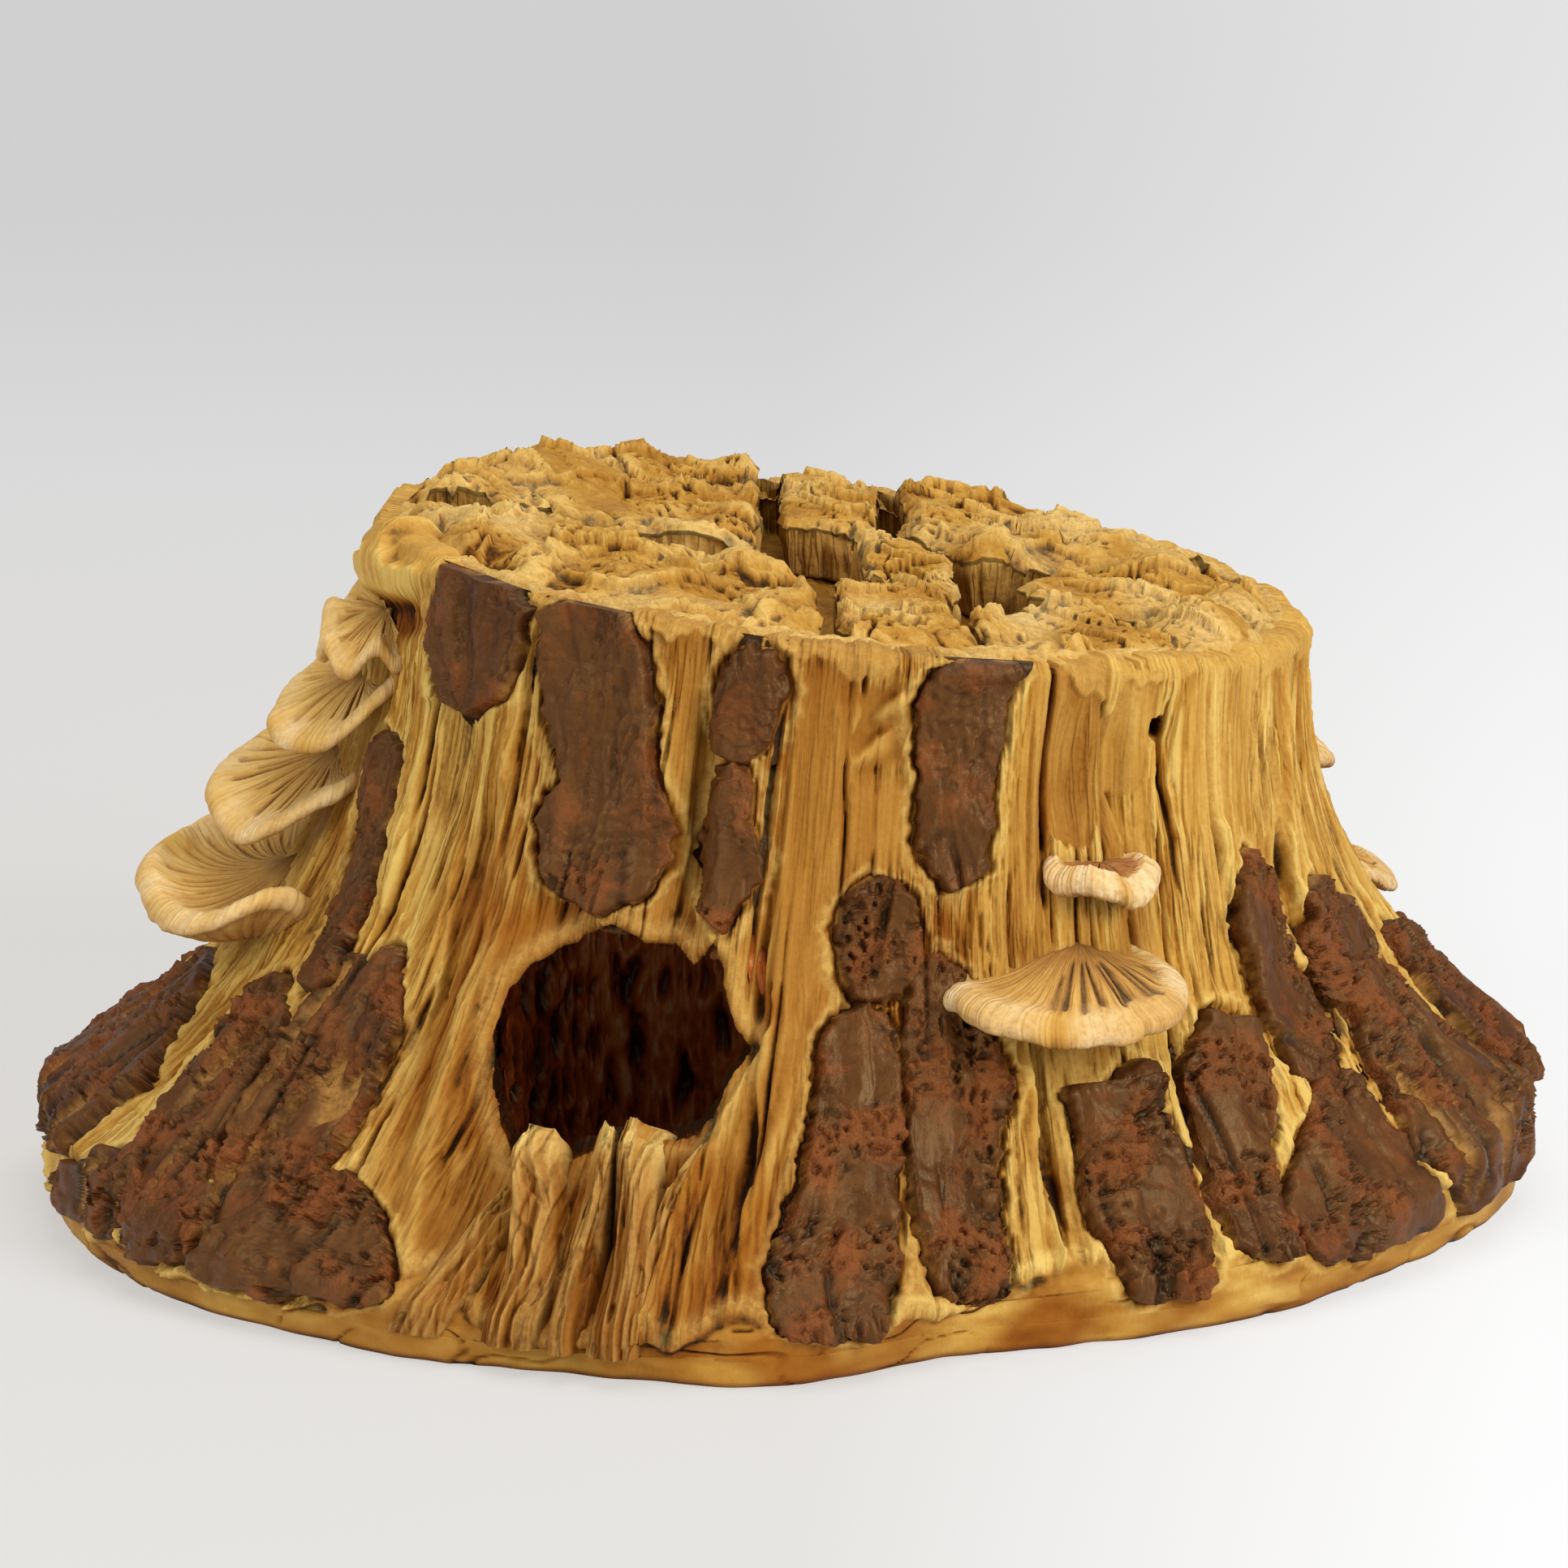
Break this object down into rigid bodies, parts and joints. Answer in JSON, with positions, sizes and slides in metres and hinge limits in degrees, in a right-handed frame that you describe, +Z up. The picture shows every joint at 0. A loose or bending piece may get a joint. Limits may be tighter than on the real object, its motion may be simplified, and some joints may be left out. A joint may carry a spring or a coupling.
{
  "type": "resin cave ornament",
  "caption": "Hollow tree stump cave for an aquarium, with a torn side mouth into a round cave, bark slabs, bracket fungi and a broken crown on a flat base.",
  "frame": {"origin": "centre of the footprint on the ground", "axes": "+X to the right along the long side, the cave mouth faces -Y, +Z up"},
  "size_m": [0.299, 0.2545, 0.1402],
  "materials": {
    "base_ochre": "cast resin painted plain ochre, smooth satin",
    "stump_ochre": "cast resin with combed wood grain, ochre paint, dark wash in the grooves and pale dry brushing on the ridges",
    "crown_pale": "rough crumbled resin, pale ochre with whitish high spots and brown pits",
    "splinter_pale": "fine grained resin splinters, ochre with pale worn tips",
    "bark_brown": "pitted resin bark, purplish brown with rust red patches and ochre torn edges",
    "fungus_cream": "smooth resin, cream yellow with pale rims and brown radial grooves",
    "cave_brown": "dark red brown satin paint over upright ridges"
  },
  "bodies": {
    "root": {"base_plate": "base_ochre", "stump_shell": "stump_ochre", "stump_front": "stump_ochre", "cave_liner": "cave_brown", "bark_above_cave": "bark_brown", "bark_back_centre": "bark_brown", "bark_back_foot_left": "bark_brown", "bark_back_foot_right": "bark_brown", "bark_back_left_low": "bark_brown", "bark_back_left_rim": "bark_brown", "bark_back_left_tall": "bark_brown", "bark_back_right_low": "bark_brown", "bark_back_right_rim": "bark_brown", "bark_back_right_tall": "bark_brown", "bark_back_rim": "bark_brown", "bark_beside_cave": "bark_brown", "bark_curled": "bark_brown", "bark_far_left": "bark_brown", "bark_front_foot_left": "bark_brown", "bark_front_foot_right": "bark_brown", "bark_front_upper": "bark_brown", "bark_hooked": "bark_brown", "bark_knotted": "bark_brown", "bark_left_heel": "bark_brown", "bark_left_ribbon": "bark_brown", "bark_left_strip": "bark_brown", "bark_left_toe": "bark_brown", "bark_left_wide": "bark_brown", "bark_right_foot": "bark_brown", "bark_right_heel": "bark_brown", "bark_right_root": "bark_brown", "bark_right_small": "bark_brown", "bark_right_strip": "bark_brown", "bark_right_upper": "bark_brown", "bark_rim_centre": "bark_brown", "bark_rim_left": "bark_brown", "crown_plate_back_centre": "crown_pale", "crown_plate_back_left": "crown_pale", "crown_plate_back_right": "crown_pale", "crown_plate_curl": "crown_pale", "crown_plate_front_centre": "crown_pale", "crown_plate_front_left": "crown_pale", "crown_plate_front_right": "crown_pale", "crown_plate_right": "crown_pale", "fungus_front_large": "fungus_cream", "fungus_front_small": "fungus_cream", "fungus_left_large": "fungus_cream", "fungus_left_lower": "fungus_cream", "fungus_left_top": "fungus_cream", "fungus_left_upper": "fungus_cream", "fungus_right_lower": "fungus_cream", "fungus_right_upper": "fungus_cream", "sill_splinter_1": "splinter_pale", "sill_splinter_2": "splinter_pale", "sill_splinter_3": "splinter_pale", "sill_splinter_4": "splinter_pale", "sill_splinter_5": "splinter_pale"}
  },
  "joints": []
}
